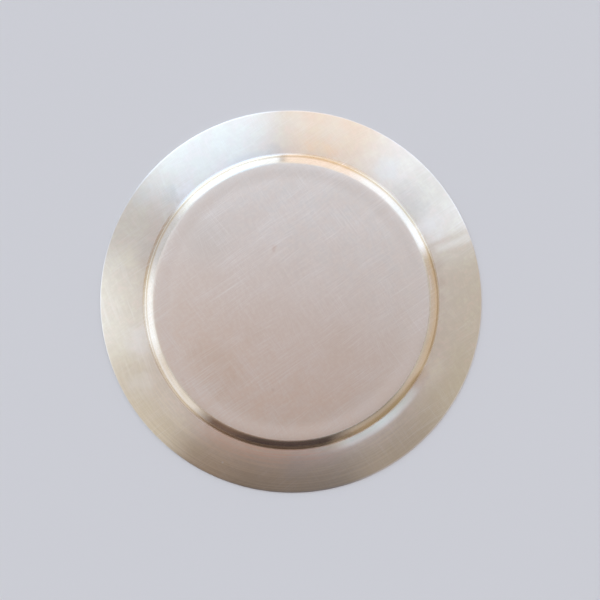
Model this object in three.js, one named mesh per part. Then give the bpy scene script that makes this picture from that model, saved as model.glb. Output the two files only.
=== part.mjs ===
// A round plate formed from one disc of sheet brass: a flat base, a short curved wall and
// a wide, gently sloping rim, all one piece of metal. Millimetres, +Z up.
//
// The plate lies face down. The origin is the centre of the plane that its lip rests on,
// and +Z runs along the axis of revolution, out of the flat underside of the base.
import * as THREE from 'three';

// Driving dimensions, mm and degrees. Radii of bends are at the middle of the sheet.
const SHEET = 1.0; // thickness of the metal
const OUTER_DIAMETER = 240;
const BASE_RADIUS = 85.2; // where the flat base starts to bend
const SHOULDER_BEND = 3.5; // radius of the bend at the edge of the base
const SHOULDER_SLOPE = 28; // slope at which the shoulder passes into the wall
const WALL_BEND = 13.2; // radius of the wall, which curves all the way down
const WALL_SLOPE = 52; // slope of the wall at its foot, its steepest place
const FOOT_BEND = 1.2; // radius of the tight bend between wall and rim
const RIM_SLOPE_INNER = 1; // slope of the rim beside the wall
const RIM_SLOPE_OUTER = 11; // slope of the rim at the lip

// Facets around the axis, and along the section.
const SECTORS = 96;
const SHOULDER_FACETS = 4;
const WALL_FACETS = 4;
const FOOT_BEND_FACETS = 4;
const RIM_FACETS = 5;
const LIP_FACETS = 4; // even, so that one corner is at the tip of the lip

const BRASS = { color: 0xcbb994, roughness: 0.34, metalness: 1.0 };

// A walk along the middle of the sheet, from the axis outwards. Each station is a place
// (r, z) with the downward slope of the sheet there, in radians.
class SheetWalk {
  stations = [{ r: 0, z: 0, slope: 0 }];

  get last() {
    return this.stations.at(-1);
  }

  straight(length) {
    const { r, z, slope } = this.last;
    this.stations.push({
      r: r + length * Math.cos(slope),
      z: z - length * Math.sin(slope),
      slope,
    });
  }

  // Bends the sheet to a new slope, along an arc of the given radius.
  bend(radius, newSlope, facets) {
    const from = this.last;
    const reach = radius * Math.sign(newSlope - from.slope);
    for (let i = 1; i <= facets; i++) {
      const slope = THREE.MathUtils.lerp(from.slope, newSlope, i / facets);
      this.stations.push({
        r: from.r + reach * (Math.sin(slope) - Math.sin(from.slope)),
        z: from.z + reach * (Math.cos(slope) - Math.cos(from.slope)),
        slope,
      });
    }
  }
}

function walkThePlate() {
  const shoulder = THREE.MathUtils.degToRad(SHOULDER_SLOPE);
  const wall = THREE.MathUtils.degToRad(WALL_SLOPE);
  const rimInner = THREE.MathUtils.degToRad(RIM_SLOPE_INNER);
  const rimOuter = THREE.MathUtils.degToRad(RIM_SLOPE_OUTER);

  const walk = new SheetWalk();
  walk.straight(BASE_RADIUS);
  walk.bend(SHOULDER_BEND, shoulder, SHOULDER_FACETS);
  walk.bend(WALL_BEND, wall, WALL_FACETS);
  walk.bend(FOOT_BEND, rimInner, FOOT_BEND_FACETS);

  // The rim is one long arc over the width that is left, up to the rounded lip.
  const lipReach = (SHEET / 2) * Math.cos(rimOuter);
  const rimWidth = OUTER_DIAMETER / 2 - lipReach - walk.last.r;
  const rimBend = rimWidth / (Math.sin(rimOuter) - Math.sin(rimInner));
  walk.bend(rimBend, rimOuter, RIM_FACETS);
  return walk;
}

// The point that lies half the sheet's thickness from a station, in a direction given by
// its angle from the sheet's upward normal, turning outwards.
function surfacePoint({ r, z, slope }, angle = 0) {
  const direction = slope + angle;
  return new THREE.Vector2(
    r + (SHEET / 2) * Math.sin(direction),
    z + (SHEET / 2) * Math.cos(direction),
  );
}

// The closed section of the sheet: out along the lower face, round the lip and back along
// the upper face, with the lowest point at height 0. It starts and ends on the axis.
function sheetSection() {
  const { stations, last } = walkThePlate();
  const lower = stations.map((station) => surfacePoint(station, Math.PI));
  const upper = stations.map((station) => surfacePoint(station));
  const lip = [];
  for (let i = 1; i < LIP_FACETS; i++) {
    lip.push(surfacePoint(last, Math.PI * (1 - i / LIP_FACETS)));
  }

  const section = [...lower, ...lip, ...upper.reverse()];
  const lowest = Math.min(...section.map((point) => point.y));
  return section.map((point) => new THREE.Vector2(point.x, point.y - lowest));
}

function makePlate() {
  const geometry = new THREE.LatheGeometry(sheetSection(), SECTORS);
  geometry.rotateX(Math.PI / 2); // a lathe turns about Y, the plate about Z
  const plate = new THREE.Mesh(geometry, new THREE.MeshStandardMaterial(BRASS));
  plate.name = 'plate';
  return plate;
}

const object = new THREE.Group();
object.add(makePlate());

export default object;
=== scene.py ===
"""A round plate of hand-formed, brushed sheet brass, lying face down on a pale table."""

import math
from dataclasses import dataclass
from functools import cached_property, reduce

import bpy
import numpy as np
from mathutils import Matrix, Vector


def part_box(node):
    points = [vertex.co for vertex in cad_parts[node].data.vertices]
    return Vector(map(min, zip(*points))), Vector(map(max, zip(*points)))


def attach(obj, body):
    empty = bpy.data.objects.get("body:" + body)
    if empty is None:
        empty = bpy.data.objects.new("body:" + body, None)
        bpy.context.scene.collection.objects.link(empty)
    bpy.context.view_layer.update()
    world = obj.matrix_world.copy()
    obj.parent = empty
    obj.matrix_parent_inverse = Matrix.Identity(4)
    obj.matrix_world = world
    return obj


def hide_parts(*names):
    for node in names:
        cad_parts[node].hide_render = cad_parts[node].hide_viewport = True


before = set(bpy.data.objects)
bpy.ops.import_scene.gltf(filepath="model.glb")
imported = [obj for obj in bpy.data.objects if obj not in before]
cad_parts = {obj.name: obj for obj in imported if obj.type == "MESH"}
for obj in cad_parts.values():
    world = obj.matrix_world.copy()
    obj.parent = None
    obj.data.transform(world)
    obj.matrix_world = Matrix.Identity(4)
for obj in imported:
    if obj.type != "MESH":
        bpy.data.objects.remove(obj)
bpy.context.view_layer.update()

MM = 0.001

# The sheet's section, as in the CAD part. Radii of bends are at the middle of the sheet.
SHEET = 1.0 * MM
OUTER_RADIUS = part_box("plate")[1].x
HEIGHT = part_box("plate")[1].z
BASE_RADIUS = 85.2 * MM
SHOULDER_BEND = 3.5 * MM
SHOULDER_SLOPE = math.radians(28)
WALL_BEND = 13.2 * MM
WALL_SLOPE = math.radians(52)
FOOT_BEND = 1.2 * MM
RIM_SLOPE_INNER = math.radians(1)
RIM_SLOPE_OUTER = math.radians(11)
FOOT_RADIUS = 91.9 * MM  # of the crease between the wall and the rim

# Fineness of the visual mesh: rings along the section, and sectors around the axis.
SECTORS = 540
BASE_RINGS = 5
BASE_EDGE = 14 * MM  # width of the outer part of the base, which is not quite flat
BASE_EDGE_RINGS = 9
SHOULDER_RINGS = 8
WALL_RINGS = 12
FOOT_BEND_RINGS = 8
RIM_RINGS = 38
LIP_RINGS = 8


# --- The sheet's shape ------------------------------------------------------------------


@dataclass
class Station:
    """A place on the middle of the sheet, with its downward slope in radians."""

    r: float
    z: float
    slope: float


def straight(stations, length, steps):
    """Adds stations along a straight stretch of the sheet."""
    start = stations[-1]
    for i in range(1, steps + 1):
        along = length * i / steps
        stations.append(
            Station(
                start.r + along * math.cos(start.slope),
                start.z - along * math.sin(start.slope),
                start.slope,
            )
        )


def bend(stations, radius, new_slope, steps):
    """Adds stations along an arc that brings the sheet to a new slope."""
    start = stations[-1]
    reach = math.copysign(radius, new_slope - start.slope)
    for i in range(1, steps + 1):
        slope = start.slope + (new_slope - start.slope) * i / steps
        stations.append(
            Station(
                start.r + reach * (math.sin(slope) - math.sin(start.slope)),
                start.z + reach * (math.cos(slope) - math.cos(start.slope)),
                slope,
            )
        )


def sheet_walk():
    """Stations from the axis to the middle of the rounded lip."""
    stations = [Station(0, 0, 0)]
    straight(stations, BASE_RADIUS - BASE_EDGE, BASE_RINGS)
    straight(stations, BASE_EDGE, BASE_EDGE_RINGS)
    bend(stations, SHOULDER_BEND, SHOULDER_SLOPE, SHOULDER_RINGS)
    bend(stations, WALL_BEND, WALL_SLOPE, WALL_RINGS)
    bend(stations, FOOT_BEND, RIM_SLOPE_INNER, FOOT_BEND_RINGS)
    lip_reach = SHEET / 2 * math.cos(RIM_SLOPE_OUTER)
    width = OUTER_RADIUS - lip_reach - stations[-1].r
    turn = math.sin(RIM_SLOPE_OUTER) - math.sin(RIM_SLOPE_INNER)
    bend(stations, width / turn, RIM_SLOPE_OUTER, RIM_RINGS)
    return stations


def offset(station, angle):
    """(r, z) half a sheet away from a station, at an angle from the upward normal."""
    direction = station.slope + angle
    return (
        station.r + SHEET / 2 * math.sin(direction),
        station.z + SHEET / 2 * math.cos(direction),
    )


def section():
    """(r, z) around the sheet: the upper face outwards, the lip, the lower face inwards."""
    stations = sheet_walk()
    upper = [offset(s, 0) for s in stations]
    lip = [offset(stations[-1], math.pi * i / LIP_RINGS) for i in range(1, LIP_RINGS)]
    lower = [offset(s, math.pi) for s in reversed(stations)]
    points = np.array(upper + lip + lower)
    points[:, 1] -= points[:, 1].min()
    return points


def ramp(x, start, end):
    """0 before start and 1 after end, smooth in between."""
    t = np.clip((x - start) / (end - start), 0, 1)
    return t * t * (3 - 2 * t)


def slant(x, start, end, ease):
    """As ramp, but straight in between, with ends rounded over the ease."""
    t = (x - start) / (end - start)
    soft = ease / (end - start)
    return (np.logaddexp(0, t / soft) - np.logaddexp(0, (t - 1) / soft)) * soft


def arc(azimuth, start, end, ease):
    """1 between two azimuths, in degrees clockwise from +Y, and 0 beyond the ease."""
    middle, half = (start + end) / 2, (end - start) / 2
    away = np.abs((np.degrees(azimuth) - middle + 180) % 360 - 180)
    return 1 - ramp(away, half - ease / 2, half + ease / 2)


# What forming by hand does to the sheet.
OUT_OF_ROUND = 0.65 * MM  # of the lip, longest towards LONG_AXIS and its opposite
LONG_AXIS = math.radians(-32)
BASE_DISH = 0.27 * MM  # how far the base sinks inside its raised edge
DISH_EDGE = (75 * MM, 84.5 * MM)

# The hollow beside the foot of the wall.
VALLEY = 1.0 * MM  # depth where all the shares of VALLEY_SPAN overlap
VALLEY_WALL = (BASE_RADIUS + 1 * MM, FOOT_RADIUS - 0.5 * MM)  # where the wall sinks to it
VALLEY_WIDTH = 5.4 * MM  # on the rim
VALLEY_EASE = 0.4 * MM
# Shares of the depth: each has a first and last azimuth and the degrees its ends fade over.
VALLEY_SPAN = ((0.32, 120, 146, 12), (0.56, 120, 162, 10), (0.12, 114, 222, 20))

# The wall's outline is off centre and out of round: lobes, height in mm, and azimuth. It
# carries the sheet beside it along, between two radii.
WALL_WANDER = ((1, 0.65, 145), (2, 0.25, 8), (3, 0.4, -17))
FOOT_WANDER = ((2, 0.25, 80),)  # as well, at the foot of the wall
WANDER_START = 66 * MM
WANDER_END = 112 * MM

# Waves of the rim, which grow towards the lip: how many, height in mm, phase in radians.
RIM_WAVES = ((5, 0.045, 0.4), (8, 0.03, 2.1), (13, 0.014, 4.0), (21, 0.006, 1.2))
# Radial ridges and creases of the rim: azimuth and half width in degrees, height in mm.
WRINKLES = (
    (43, 1.2, 0.015),
    (51, 4.0, -0.06),
    (60.5, 0.9, 0.012),
    (64, 0.8, -0.010),
    (67.0, 1.0, 0.014),
    (69.2, 1.1, -0.026),
    (71.6, 1.2, 0.024),
)
WRINKLES_FULL = 100 * MM  # radius from which they have their full height


def wander(azimuth, waves):
    """How far waves of (lobes, height, azimuth) move an outline outwards."""
    heights = 0
    for lobes, height, towards in waves:
        heights += height * MM * np.cos(lobes * (azimuth - math.radians(towards)))
    return heights


def formed_radius(r, azimuth):
    """Radii of the true plate, moved to where hand forming left them."""
    round_error = OUT_OF_ROUND * (np.cos(2 * (azimuth - LONG_AXIS)) - 1) / 2
    inside_rim = 1 - ramp(r, FOOT_RADIUS, WANDER_END)
    from_base = ramp(r, WANDER_START, BASE_RADIUS)
    from_shoulder = ramp(r, BASE_RADIUS, FOOT_RADIUS)
    new_r = r + round_error * r / OUTER_RADIUS
    new_r += wander(azimuth, WALL_WANDER) * from_base * inside_rim
    new_r += wander(azimuth, FOOT_WANDER) * from_shoulder * inside_rim
    return new_r


def valley_depth(r, azimuth):
    """How far the sheet sinks into the hollow beside the foot of the wall."""
    up_the_rim = slant(r, FOOT_RADIUS, FOOT_RADIUS + VALLEY_WIDTH, VALLEY_EASE)
    hollow = ramp(r, *VALLEY_WALL) * (1 - up_the_rim)
    around = sum(share * arc(azimuth, *limits) for share, *limits in VALLEY_SPAN)
    return VALLEY * hollow * around


def formed_height(r, z, azimuth):
    """Heights of the true plate, moved to where hand forming left them."""
    z = z - BASE_DISH * (1 - ramp(r, *DISH_EDGE))
    z = z - valley_depth(r, azimuth)
    toward_lip = ramp(r, FOOT_RADIUS, OUTER_RADIUS)
    for count, height, phase in RIM_WAVES:
        wave = (1 + np.cos(count * azimuth + phase)) / 2
        z = z + height * MM * wave * toward_lip
    on_rim = ramp(r, FOOT_RADIUS, WRINKLES_FULL)
    for centre, half_width, height in WRINKLES:
        away = (np.degrees(azimuth) - centre) / half_width
        z = z + height * MM * np.exp(-(away**2)) * on_rim
    return z


def closed_faces(rings):
    """Faces over two poles and then rings of vertices: quads, with a fan at each pole."""

    def corner(ring, sector):
        return 2 + ring * SECTORS + sector % SECTORS

    faces = []
    for s in range(SECTORS):
        faces.append((0, corner(0, s + 1), corner(0, s)))
        for ring in range(rings - 1):
            faces.append(
                (
                    corner(ring, s),
                    corner(ring, s + 1),
                    corner(ring + 1, s + 1),
                    corner(ring + 1, s),
                )
            )
        faces.append((1, corner(rings - 1, s), corner(rings - 1, s + 1)))
    return faces


def plate_mesh():
    """The whole closed sheet, from the pole on its upper face to the one below."""
    between_poles = section()[1:-1]
    azimuths = np.arange(SECTORS) * 2 * np.pi / SECTORS
    true_r, azimuth = np.meshgrid(between_poles[:, 0], azimuths, indexing="ij")
    true_z = np.repeat(between_poles[:, 1:], SECTORS, axis=1)
    r = formed_radius(true_r, azimuth)
    z = formed_height(true_r, true_z, azimuth)
    z -= z.min()
    z *= HEIGHT / z.max()
    rings = np.stack([r * np.sin(azimuth), r * np.cos(azimuth), z], axis=-1)
    poles = [(0, 0, z[0, 0]), (0, 0, z[-1, 0])]
    vertices = [*poles, *rings.reshape(-1, 3).tolist()]
    mesh = bpy.data.meshes.new("formed_plate")
    mesh.from_pydata(vertices, [], closed_faces(len(between_poles)))
    mesh.shade_smooth()
    mesh.update()
    return mesh


# --- Materials --------------------------------------------------------------------------

# Strokes of the hand sanding, which cross base and rim alike: rise to the right in
# degrees, length and width of a stroke and size of a patch in mm, and strength.
SANDING = (
    (34, 50, 0.38, 26, 1.15),
    (38, 30, 0.34, 13, 0.95),
    (27, 36, 0.34, 20, 0.6),
    (-53, 42, 0.38, 20, 0.75),
    (-61, 30, 0.34, 16, 0.55),
    (-74, 32, 0.36, 20, 0.5),
)
PATCH_LENGTH = 1.6  # of a patch of strokes, as a multiple of its width
STROKE_LEVELS = (0.48, 0.74)  # of noise, from where a stroke begins to its middle
PATCH_LEVELS = (0.34, 0.70)

MARK_CORE = 0.1  # share of a mark's radius inside which it has its full strength


def rgb(red, green, blue):
    return (red, green, blue, 1)


class Nodes:
    """Short ways to add nodes to a tree and link them."""

    def __init__(self, tree):
        self.tree = tree
        tree.nodes.clear()

    def add(self, kind, inputs=(), **settings):
        node = self.tree.nodes.new(kind)
        for name, value in settings.items():
            setattr(node, name, value)
        for key, value in dict(inputs).items():
            self.put(node.inputs[key], value)
        return node

    def put(self, socket, value):
        if isinstance(value, bpy.types.NodeSocket):
            self.tree.links.new(value, socket)
        else:
            socket.default_value = value

    def math(self, operation, *values):
        node = self.add("ShaderNodeMath", operation=operation)
        for socket, value in zip(node.inputs, values):
            self.put(socket, value)
        return node.outputs[0]

    def total(self, *values):
        return reduce(lambda a, b: self.math("ADD", a, b), values)

    def product(self, *values):
        return reduce(lambda a, b: self.math("MULTIPLY", a, b), values)

    def vector(self, operation, *values):
        node = self.add("ShaderNodeVectorMath", operation=operation)
        for socket, value in zip(node.inputs, values):
            self.put(socket, value)
        scalar = operation in ("LENGTH", "DOT_PRODUCT")
        return node.outputs["Value" if scalar else "Vector"]

    def step(self, value, low, high, to_low=0.0, to_high=1.0):
        """Smooth step of the value from to_low at low, to to_high at high."""
        node = self.add(
            "ShaderNodeMapRange",
            {
                "Value": value,
                "From Min": low,
                "From Max": high,
                "To Min": to_low,
                "To Max": to_high,
            },
            interpolation_type="SMOOTHSTEP",
        )
        return node.outputs["Result"]

    def mix(self, factor, a, b):
        node = self.add("ShaderNodeMix", data_type="RGBA")
        self.put(node.inputs["Factor"], factor)
        colour_a, colour_b = [s for s in node.inputs if s.type == "RGBA"]
        self.put(colour_a, a)
        self.put(colour_b, b)
        return next(s for s in node.outputs if s.type == "RGBA")

    def mix_values(self, factor, a, b):
        node = self.add("ShaderNodeMix", data_type="FLOAT")
        for name, value in (("Factor", factor), ("A", a), ("B", b)):
            self.put(node.inputs[name], value)
        return node.outputs["Result"]

    def layered(self, base, *layers):
        """Mixes layers over a colour in turn. Each is (mask, strength, colour)."""
        for mask, strength, colour in layers:
            base = self.mix(self.product(mask, strength), base, colour)
        return base

    def noise(self, vector, detail=1):
        """Noise with features of about one unit, and mostly between 0.3 and 0.7."""
        node = self.add(
            "ShaderNodeTexNoise", {"Vector": vector, "Scale": 1.0, "Detail": detail}
        )
        return node.outputs["Fac"]

    def wobbled(self, place, reach, size):
        """The place, moved by up to half the reach, in bends of about the size."""
        node = self.add(
            "ShaderNodeTexNoise",
            {"Vector": self.vector("DIVIDE", place, (size,) * 3), "Scale": 1.0},
        )
        shift = self.vector("SUBTRACT", node.outputs["Color"], (0.5, 0.5, 0.5))
        return self.vector(
            "ADD", place, self.vector("MULTIPLY", shift, (reach, reach, 0))
        )

    def strokes(self, place, angle, length, width, patch):
        """0 to 1, high on long strokes in patches.

        They rise to the right by an angle in degrees. Length and width are of one stroke,
        and patch is the width of a patch.
        """
        turned = self.add(
            "ShaderNodeVectorRotate",
            {"Vector": place, "Angle": math.radians(-angle)},
            rotation_type="Z_AXIS",
        ).outputs[0]
        apart = self.vector("ADD", turned, (0, 0, angle))
        lines = self.noise(self.vector("DIVIDE", apart, (length, width, 1)), 2)
        patches = self.noise(
            self.vector("DIVIDE", apart, (PATCH_LENGTH * patch, patch, 1))
        )
        return self.product(
            self.step(lines, *STROKE_LEVELS), self.step(patches, *PATCH_LEVELS)
        )


@dataclass
class Marks:
    """Soft marks of one colour, each with its x, y and radius in mm, and its strength.

    Their outlines stray by up to half of `stray`, in bends of about the size `bends`.
    """

    colour: tuple
    spots: tuple
    stray: float = 0
    bends: float = 6


class Metal(Nodes):
    """The nodes of a metal, in a material of their own.

    Places, radii and the sizes of what lies on the metal are in mm.
    """

    def __init__(self, name):
        self.material = bpy.data.materials.new(name)
        self.material.use_nodes = True
        super().__init__(self.material.node_tree)
        metres = self.add("ShaderNodeTexCoord").outputs["Object"]
        self.place = self.vector("MULTIPLY", metres, (1 / MM,) * 3)
        self.flat = self.vector("MULTIPLY", self.place, (1, 1, 0))
        self.radius = self.vector("LENGTH", self.flat)

    @cached_property
    def around(self):
        """The direction away from the axis."""
        return self.vector("NORMALIZE", self.flat)

    def toward(self, azimuth, near, far):
        """1 within `near` degrees of an azimuth, and 0 more than `far` degrees from it."""
        angle = math.radians(azimuth)
        direction = (math.sin(angle), math.cos(angle), 0)
        facing = self.vector("DOT_PRODUCT", self.around, direction)
        return self.step(facing, math.cos(math.radians(far)), math.cos(math.radians(near)))

    def across(self, start, end):
        """From 0 at one radius to 1 at another, which may be the smaller of the two."""
        return self.step(self.radius, start, end)

    def zone(self, start, full, fading, end):
        """1 between two radii, fading in before the first and out after the second."""
        return self.product(self.across(start, full), self.across(end, fading))

    def specks(self, size, detail=1):
        """Noise with features of about the size."""
        return self.noise(self.vector("DIVIDE", self.flat, (size,) * 3), detail)

    def sanding(self):
        """All the strokes of the hand sanding together."""
        strayed = self.wobbled(self.flat, reach=1.2, size=30)
        sets = []
        for *stroke, strength in SANDING:
            sets.append(self.product(self.strokes(strayed, *stroke), strength))
        return self.total(*sets)

    def marked(self, base, *all_marks):
        """Mixes each set of marks over a colour in turn."""
        for marks in all_marks:
            place = self.flat
            if marks.stray:
                place = self.wobbled(self.flat, marks.stray, marks.bends)
            for x, y, radius, strength in marks.spots:
                away = self.vector("LENGTH", self.vector("SUBTRACT", place, (x, y, 0)))
                inside = self.step(away, radius, MARK_CORE * radius)
                base = self.layered(base, (inside, strength, marks.colour))
        return base

    def finish(self, colour, roughness, height, depth, polish=()):
        """Adds the metal shader and its surface relief, and returns the material."""
        bump = self.add("ShaderNodeBump", {"Height": height, "Distance": depth})
        settings = {
            "Base Color": colour,
            "Metallic": 1.0,
            "Roughness": roughness,
            "Normal": bump.outputs["Normal"],
        }
        shader = self.add("ShaderNodeBsdfPrincipled", {**settings, **dict(polish)})
        out = self.add("ShaderNodeOutputMaterial")
        self.put(out.inputs["Surface"], shader.outputs[0])
        return self.material


# Marks on the base, among them painted shadows.
STAINS = Marks(
    rgb(0.68, 0.485, 0.325),
    (
        (-44, -40, 19, 0.35),
        (-34, -46, 10, 0.2),
        (-56, -32, 12, 0.3),
        (-22, -19, 8, 0.25),
        (28, -24, 16, 0.15),
        (-44, -56, 11, 0.3),
        (-8, -81, 11, 0.25),
    ),
    stray=14,
    bends=5,
)
SPOTS = Marks(
    rgb(0.62, 0.40, 0.26),
    (
        (-10.2, 33.6, 2.4, 0.55),
        (-10.6, 31.8, 1.8, 0.4),
        (-11, -54.4, 1.6, 0.5),
        (-66.4, -48.2, 1.8, 0.4),
    ),
)
# Painted shadows: darker grey patches on the base, towards its north-west and north.
PAINTED_SHADOWS = Marks(rgb(0.66, 0.575, 0.465), ((-52, 40, 26, 0.5), (6, 74, 16, 0.25)))
LILAC_BLOOMS = Marks(rgb(0.77, 0.65, 0.53), ((48, -66, 17, 0.6), (30, -78, 12, 0.4)))

# Marks on the wall and rim, among them painted light and shade.
# Painted shade beside the foot and on dents of the rim, where they would mirror darker
# things; the mark to the south is a dark smudge.
SHADE_AND_SMUDGES = Marks(
    rgb(0.66, 0.62, 0.52),
    (
        (77, 60, 14, 0.5),
        (69, 69, 10, 0.35),
        (-74, 66, 9, 0.45),
        (-90, 32, 10, 0.25),
        (3, -103, 12, 0.35),
        (-11, 96, 7, 0.4),
    ),
    stray=16,
)
CREAM = Marks(rgb(0.97, 0.88, 0.64), ((86, -42, 12, 0.5), (-101, 30, 10, 0.4)), stray=16)
# Painted light: a peach glow on the rim beside the north of the wall, where the wall would
# throw window light onto it.
PAINTED_GLOW = Marks(rgb(0.92, 0.71, 0.47), ((12, 97, 8, 0.5), (24, 95, 8, 0.5)), stray=8)
COOL = Marks(
    rgb(0.82, 0.80, 0.69),
    ((26, 109, 14, 0.5), (60, 82, 14, 0.5), (4, 114, 12, 0.4), (-92, 66, 10, 0.4)),
    stray=16,
)
# Painted shade: soft brown shade on the rim beside the foot of the wall, to the east and
# west.
SHADE_BESIDE_FOOT = Marks(
    rgb(0.66, 0.54, 0.40),
    (
        (88, 33, 5, 0.35),
        (91.5, 23, 6, 0.5),
        (93.5, 12, 5, 0.45),
        (94, 2, 4, 0.3),
        (-91, 24, 6, 0.3),
        (-93, 10, 5, 0.25),
    ),
)
# Painted highlights: pale bright patches on the rim near the foot of the wall.
PAINTED_HIGHLIGHTS = Marks(
    rgb(0.97, 0.92, 0.82),
    ((86, 47, 13, 0.45), (-65, 69, 9, 0.4), (-94, -25, 13, 0.4), (-95, -52, 13, 0.4)),
    stray=16,
)

# A bare nick in the rim, and a painted highlight on the wall: a short bright streak, where
# a small dent would catch the light, in dots along an arc.
NICK = (-42.6, -100.3, 1.0, 0.7)
STREAK_RADIUS = 87.1
STREAK_HIGHLIGHT = [
    (STREAK_RADIUS * math.sin(azimuth), STREAK_RADIUS * math.cos(azimuth), 1.0, 0.35)
    for azimuth in np.radians(np.arange(79.5, 85, 0.6))
]
NICK_AND_STREAK_HIGHLIGHT = Marks(rgb(0.99, 0.97, 0.92), (NICK, *STREAK_HIGHLIGHT))


SOUTHWEST = (-0.42, -0.91, 0)
ROSY_FROM, ROSY_TO = -80, 80  # mm towards the south-west, over which the base turns rosy
RUBBED_EDGE = (66, 79)  # radii in mm, over which the base turns paler
BASE_ROUGHNESS = 0.44
BASE_STROKE_SHINE = 0.05  # by which strokes are less rough
BASE_GRAIN_HEIGHT = 0.5  # as a share of the depth of a stroke
BASE_RELIEF = 0.008 * MM


def base_material():
    """Satin metal, a little tarnished, with fresh metal showing in the strokes, a painted
    warm tint away from the window, and painted shadows near its north and north-west edge.
    """
    metal = Metal("brass_base")
    strokes = metal.sanding()
    grain = metal.specks(size=0.7)
    grainy = metal.step(grain, 0.3, 0.7)
    mottled = metal.step(metal.specks(size=2.4), 0.4, 0.7)
    blotched = metal.step(metal.specks(size=8, detail=3), 0.35, 0.66)
    southwest = metal.vector("DOT_PRODUCT", metal.flat, SOUTHWEST)
    # Painted light: the base turns rosier and a little darker towards the south-west, away
    # from the window's cool light.
    rosy = metal.step(southwest, ROSY_FROM, ROSY_TO)

    # Besides tarnish, this colour carries the painted warm tint, and below the painted
    # shadows as well.
    tarnish = metal.layered(
        rgb(0.72, 0.65, 0.548),
        (rosy, 1, rgb(0.79, 0.585, 0.425)),
        (blotched, 0.4, rgb(0.77, 0.62, 0.49)),
        (mottled, 0.3, rgb(0.85, 0.73, 0.58)),
    )
    tarnish = metal.marked(tarnish, STAINS, SPOTS, PAINTED_SHADOWS, LILAC_BLOOMS)
    colour = metal.layered(
        tarnish,
        (metal.across(*RUBBED_EDGE), 0.3, rgb(0.85, 0.74, 0.595)),
        (strokes, 0.6, rgb(0.91, 0.83, 0.71)),
        (grainy, 0.3, rgb(0.76, 0.64, 0.51)),
    )
    shine = metal.product(strokes, BASE_STROKE_SHINE)
    roughness = metal.math("SUBTRACT", BASE_ROUGHNESS, shine)
    height = metal.math("SUBTRACT", metal.product(grain, BASE_GRAIN_HEIGHT), strokes)
    return metal.finish(colour, roughness, height, BASE_RELIEF)


# Stretches of the wall and rim: the azimuth of the middle, how far to each side of it the
# stretch is full, and how far it reaches, in degrees.
WINDOW_SIDE = (335, 18, 33)
NORTHEAST = (48, 10, 26)
WEST = (292, 12, 26)
VALLEY_SIDE = (149, 16, 25)
EVEN_SIDE = (350, 25, 75)
SMEARED_SIDE = (262, 32, 73)
AGED_SIDE = (178, 46, 92)
STREAKED_SIDE = (188, 34, 70)
WARM_SIDE = (190, 18, 34)
SHADED_CRESCENT_SIDE = (346, 5, 14)
PALE_HIGHLIGHT_SIDE = (280, 66, 108)
GOLDEN_SIDE = (100, 72, 114)
CREASE_SHADE_SIDE = (90, 60, 110)
SOUTH_SHADE_SIDE = (184, 16, 37)

# Zones of the wall and rim, in mm: the radii between which each fades in, and out again.
WALL = (84, 87, 91.5, 93)
POLISHED = (85.4, 87.2, 91.5, 93)
ABOVE_FOOT = (87.8, 89.6, 91.3, 92.1)
CREASE = (90.6, 91.2, 92, 93)

# Radii in mm from where a colour is absent to where it is full.
BESIDE_FOOT = (98, 93.5)
OUTER_RIM = (97, 112)
INNER_RIM = (107, 94)
LOWER_WALL = (87.2, 91)
LIP_WEAR = (118.9, 119.5)

RING_WIDTH = 1.1  # of the marks of polishing, in mm
RING_STRENGTH = (0.06, 0.6)  # on the rim, and on the wall
RIM_ROUGHNESS = (0.279, 0.291)  # lowest and highest
WALL_ROUGHNESS = 0.15
RIM_STROKE_DEPTH = 0.7  # as a share of the height of a ring
RIM_RELIEF = 0.0004 * MM


def polishing_rings(metal):
    """Noise drawn out round the axis, in arcs of about a twelfth of a turn."""
    height = metal.add("ShaderNodeSeparateXYZ", {"Vector": metal.place}).outputs["Z"]
    outwards = metal.math("SUBTRACT", metal.radius, height)
    layer = metal.math("DIVIDE", outwards, RING_WIDTH)
    layers = metal.add("ShaderNodeCombineXYZ", {"Z": layer}).outputs[0]
    arcs = metal.vector("MULTIPLY", metal.around, (2, 2, 0))
    return metal.noise(metal.vector("ADD", arcs, layers), detail=2)


def mottled_rim(metal, clouds):
    """The rim's own colour, with less contrast on its even side."""
    contrast = metal.mix_values(metal.toward(*EVEN_SIDE), 0.9, 0.45)
    cloudy = metal.step(clouds, 0.38, 0.62)
    mottled = metal.step(metal.specks(size=2.0), 0.35, 0.65)
    patchy = metal.step(metal.specks(size=4.5), 0.35, 0.65)
    return metal.layered(
        rgb(0.855, 0.775, 0.59),
        (cloudy, 1, rgb(0.87, 0.74, 0.585)),
        (mottled, contrast, rgb(0.82, 0.72, 0.555)),
        (patchy, contrast, rgb(0.80, 0.705, 0.545)),
    )


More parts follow.
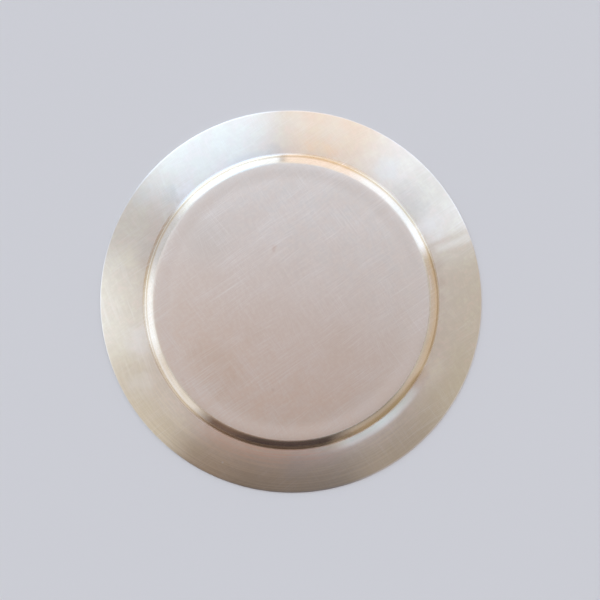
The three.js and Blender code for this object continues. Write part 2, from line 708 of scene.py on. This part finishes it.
def weathered_and_shaded_rim(metal, tint, rings):
    """Smears, tarnish and warm streaks on parts of the rim, and painted shade in a crescent
    beside the foot.
    """
    light_rings = metal.step(rings, 0.42, 0.66)
    smears = metal.strokes(metal.flat, angle=-72, length=34, width=3.0, patch=30)
    beside_foot = metal.across(*BESIDE_FOOT)
    smeared = metal.product(smears, metal.toward(*SMEARED_SIDE))
    aged = metal.product(metal.toward(*AGED_SIDE), metal.across(*OUTER_RIM))
    streaked = metal.product(light_rings, metal.toward(*STREAKED_SIDE))
    warmed = metal.product(metal.toward(*WARM_SIDE), metal.across(*INNER_RIM))
    warmed = metal.product(warmed, metal.mix_values(light_rings, 0.4, 1.2))
    greened = metal.product(metal.toward(*VALLEY_SIDE), beside_foot)
    # Painted shade: a dark crescent on the rim beside the foot, to the north-north-west.
    shaded_crescent = metal.product(metal.toward(*SHADED_CRESCENT_SIDE), beside_foot)
    return metal.layered(
        tint,
        (smeared, 0.8, rgb(0.94, 0.86, 0.71)),
        (aged, 0.6, rgb(0.71, 0.60, 0.39)),
        (streaked, 0.4, rgb(0.97, 0.85, 0.62)),
        (warmed, 0.7, rgb(0.86, 0.61, 0.42)),
        (greened, 0.6, rgb(0.74, 0.74, 0.54)),
        (shaded_crescent, 0.5, rgb(0.70, 0.66, 0.56)),
    )


def wall_tints_and_painted_light(metal, tint, on_wall):
    """Gold tarnish of the wall, and painted light and shade: paler above the foot towards
    the window and west so its reflections go white, dark brown on the south side, and shade
    in the crease at the foot, paler on the window side.
    """
    above_foot = metal.zone(*ABOVE_FOOT)
    in_crease = metal.zone(*CREASE)
    by_window = metal.toward(*WINDOW_SIDE)
    northeast = metal.product(metal.toward(*NORTHEAST), 0.6)
    west = metal.product(metal.toward(*WEST), 0.5)

    # Painted highlight: above its foot, the wall turns paler on the west and window sides,
    # so that its reflections there go white.
    highlight_paling = metal.math("MAXIMUM", metal.toward(*PALE_HIGHLIGHT_SIDE), by_window)
    highlight_paling = metal.product(highlight_paling, above_foot)
    golden = metal.total(metal.toward(*GOLDEN_SIDE), west)
    golden = metal.math("SUBTRACT", golden, northeast)
    golden = metal.product(golden, metal.across(*LOWER_WALL), on_wall)
    # Painted shade: the crease at the foot of the wall darker all round, most to the east
    # and west, and left out on the valley, window and north-east sides.
    crease_shade_amount = metal.total(metal.mix_values(metal.toward(*CREASE_SHADE_SIDE), 0.4, 0.85), west)
    without = metal.total(metal.toward(*VALLEY_SIDE), by_window, northeast)
    crease_shade = metal.product(metal.math("SUBTRACT", crease_shade_amount, without), in_crease)
    # Painted light: the crease paler on the window side.
    lit_crease = metal.product(by_window, in_crease)
    # Painted shade: the wall above its foot turns dark brown on its south side, away from
    # the light.
    south_wall_shade = metal.product(metal.toward(*SOUTH_SHADE_SIDE), above_foot)
    return metal.layered(
        tint,
        (highlight_paling, 0.8, rgb(0.95, 0.89, 0.78)),
        (golden, 1, rgb(0.86, 0.69, 0.42)),
        (crease_shade, 1, rgb(0.66, 0.50, 0.30)),
        (lit_crease, 1, rgb(0.98, 0.91, 0.77)),
        (south_wall_shade, 0.75, rgb(0.46, 0.38, 0.32)),
    )


def turned_material():
    """Smoother metal, polished round the axis before it was sanded."""
    metal = Metal("brass_turned")
    rings = polishing_rings(metal)
    clouds = metal.specks(size=10, detail=2)
    on_wall = metal.zone(*WALL)
    strokes = metal.sanding()

    tint = mottled_rim(metal, clouds)
    tint = weathered_and_shaded_rim(metal, tint, rings)
    tint = wall_tints_and_painted_light(metal, tint, on_wall)
    tint = metal.marked(tint, SHADE_AND_SMUDGES, CREAM, PAINTED_GLOW, COOL, SHADE_BESIDE_FOOT, PAINTED_HIGHLIGHTS)
    ringed = metal.step(rings, 0.35, 0.65)
    ring_strength = metal.step(on_wall, 0, 1, *RING_STRENGTH)
    colour = metal.layered(
        tint,
        (ringed, ring_strength, rgb(0.80, 0.69, 0.52)),
        (strokes, 0.5, rgb(0.93, 0.86, 0.74)),
        (metal.across(*LIP_WEAR), 1, rgb(0.94, 0.89, 0.79)),
    )
    colour = metal.marked(colour, NICK_AND_STREAK_HIGHLIGHT)

    rim_roughness = metal.step(clouds, 0.3, 0.7, *RIM_ROUGHNESS)
    roughness = metal.mix_values(metal.zone(*POLISHED), rim_roughness, WALL_ROUGHNESS)
    height = metal.total(rings, metal.product(strokes, -RIM_STROKE_DEPTH))
    tangent = metal.add("ShaderNodeTangent", direction_type="RADIAL", axis="Z")
    polish = {
        "Anisotropic": 0.95,
        "Anisotropic Rotation": 0.25,
        "Tangent": tangent.outputs[0],
    }
    return metal.finish(colour, roughness, height, RIM_RELIEF, polish)


def make_plate():
    plate = bpy.data.objects.new("brass_plate", plate_mesh())
    bpy.context.scene.collection.objects.link(plate)
    plate.data.materials.append(turned_material())
    plate.data.materials.append(base_material())
    for face in plate.data.polygons:
        if math.hypot(face.center.x, face.center.y) < BASE_RADIUS:
            face.material_index = 1
    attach(plate, "root")
    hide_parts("plate")


# --- Table, light and camera ------------------------------------------------------------

TABLE_REACH = 3.0  # from the middle of the table to each edge, in metres
TABLE_GAP = 0.02 * MM  # between the table and the lowest points of the lip
TABLE_COLOUR = (0.78, 0.75, 0.69)
TABLE_ROUGHNESS = 0.9


def make_table():
    low, high = -TABLE_REACH, TABLE_REACH
    corners = [(low, low, 0), (high, low, 0), (high, high, 0), (low, high, 0)]
    mesh = bpy.data.meshes.new("table_top")
    mesh.from_pydata(corners, [], [(0, 1, 2, 3)])
    floor = bpy.data.objects.new("table_top", mesh)
    bpy.context.scene.collection.objects.link(floor)
    material = bpy.data.materials.new("pale_table")
    material.use_nodes = True
    shader = material.node_tree.nodes["Principled BSDF"]
    shader.inputs["Base Color"].default_value = rgb(*TABLE_COLOUR)
    shader.inputs["Roughness"].default_value = TABLE_ROUGHNESS
    mesh.materials.append(material)
    floor.location.z = -TABLE_GAP
    floor.visible_glossy = False  # a pale table mirrored in the wall would wash it out


@dataclass
class Side:
    """Part of the room around the table, between two azimuths in degrees.

    Its light is a colour higher up and another lower down, and the elevation that it
    reaches up to, in degrees, where the ceiling takes over.
    """

    start: float
    end: float
    upper: tuple
    lower: tuple
    reach: float


ROOM = (
    Side(0, 22, (1.22, 1.18, 1.24), (1.14, 1.05, 1.10), 82),  # warm corner
    Side(32, 42, (1.16, 1.36, 1.78), (1.22, 1.38, 1.78), 84),  # white wall
    Side(48, 53, (0.91, 1.06, 1.33), (1.15, 1.34, 1.75), 79),  # grey door
    Side(58, 65, (1.03, 1.19, 1.50), (1.22, 1.41, 1.88), 84),  # white wall again
    Side(71.5, 72, (0.85, 0.95, 1.15), (0.66, 0.62, 0.62), 80),  # door frame
    Side(77, 122, (0.61, 0.64, 0.67), (0.64, 0.58, 0.58), 77),  # beige wall
    Side(139, 154, (0.27, 0.26, 0.24), (0.51, 0.44, 0.44), 76),  # dim wall
    Side(165, 196, (0.14, 0.13, 0.12), (0.088, 0.069, 0.076), 75),  # dark side
    Side(206, 214, (0.26, 0.21, 0.17), (0.19, 0.14, 0.13), 76),  # edge of the dark side
    Side(224, 246, (0.65, 0.64, 0.63), (0.88, 0.89, 0.98), 77),  # light wall
    Side(256, 276, (1.03, 1.13, 1.27), (1.16, 1.29, 1.58), 79),  # side window
    Side(288, 303, (0.69, 0.74, 0.83), (0.70, 0.76, 0.95), 77),  # shade between
    Side(317, 345, (1.11, 1.45, 2.08), (1.35, 1.55, 1.9), 86),  # window
    Side(350, 354.5, (1.0, 1.17, 1.52), (1.25, 1.42, 1.75), 82),  # curtain
    Side(355.8, 356.4, (0.95, 0.97, 1.10), (0.66, 0.63, 0.70), 80),  # window post
    Side(358, 360, (1.22, 1.18, 1.24), (1.14, 1.05, 1.10), 82),  # start of the warm corner
)
LOWER_ENDS = math.radians(38)  # elevations between which the lower colours give way
UPPER_STARTS = math.radians(60)
CEILING_NORTH = (0.40, 0.40, 0.60)
CEILING_SOUTH = (0.45, 0.23, 0.20)
CEILING_BLEND = 0.25  # how far a direction points north or south where one colour is full
CEILING_EDGE = 0.07  # half the width of the ceiling's soft edge, as a share of 90 degrees
BACKDROP = (0.72, 0.72, 0.73)


def ramp_around(nodes, fraction, colour_of):
    """A colour ramp over one turn, level on each side of the room."""
    node = nodes.add("ShaderNodeValToRGB", {"Fac": fraction})
    stops = []
    for side in ROOM:
        stops.append((side.start / 360, colour_of(side)))
        stops.append((side.end / 360, colour_of(side)))
    elements = node.color_ramp.elements
    while len(elements) < len(stops):
        elements.new(1.0)
    for element, (position, colour) in zip(elements, stops):
        element.position = position
        element.color = rgb(*colour)
    return node.outputs["Color"]


def room_light(nodes):
    """The room's colour in every direction."""
    direction = nodes.add("ShaderNodeTexCoord").outputs["Generated"]
    xyz = nodes.add("ShaderNodeSeparateXYZ", {"Vector": direction})
    azimuth = nodes.math("ARCTAN2", xyz.outputs["X"], xyz.outputs["Y"])
    turns = nodes.math("DIVIDE", azimuth, 2 * math.pi)
    fraction = nodes.math("FRACT", nodes.math("ADD", turns, 1.0))
    elevation = nodes.math("ARCSINE", xyz.outputs["Z"])

    upper = ramp_around(nodes, fraction, lambda side: side.upper)
    lower = ramp_around(nodes, fraction, lambda side: side.lower)
    sides = nodes.mix(nodes.step(elevation, LOWER_ENDS, UPPER_STARTS), lower, upper)
    northward = nodes.step(xyz.outputs["Y"], -CEILING_BLEND, CEILING_BLEND)
    ceiling = nodes.mix(northward, rgb(*CEILING_SOUTH), rgb(*CEILING_NORTH))
    reach = ramp_around(nodes, fraction, lambda side: (side.reach / 90,) * 3)
    above = nodes.math("SUBTRACT", nodes.math("DIVIDE", elevation, math.pi / 2), reach)
    return nodes.mix(nodes.step(above, -CEILING_EDGE, CEILING_EDGE), sides, ceiling)


def light_the_room():
    """Lights the scene by the room. The camera itself sees a plain backdrop behind it."""
    world = bpy.data.worlds.new("soft_studio")
    bpy.context.scene.world = world
    world.use_nodes = True
    nodes = Nodes(world.node_tree)
    seen = nodes.add("ShaderNodeLightPath").outputs["Is Camera Ray"]
    colour = nodes.mix(seen, room_light(nodes), rgb(*BACKDROP))
    background = nodes.add("ShaderNodeBackground", {"Color": colour, "Strength": 1.0})
    out = nodes.add("ShaderNodeOutputWorld")
    nodes.put(out.inputs["Surface"], background.outputs[0])


CAMERA_PLACE = (5.7 * MM, 1.0 * MM, 471.0 * MM)  # it looks straight down
LENS = 45  # in mm, as is the sensor's width
SENSOR_WIDTH = 36


def make_camera():
    data = bpy.data.cameras.new("camera")
    data.lens = LENS
    data.sensor_width = SENSOR_WIDTH
    camera = bpy.data.objects.new("camera", data)
    bpy.context.scene.collection.objects.link(camera)
    camera.location = CAMERA_PLACE
    bpy.context.scene.camera = camera


make_camera()
make_table()
light_the_room()
make_plate()
bpy.context.scene.view_settings.view_transform = "Standard"
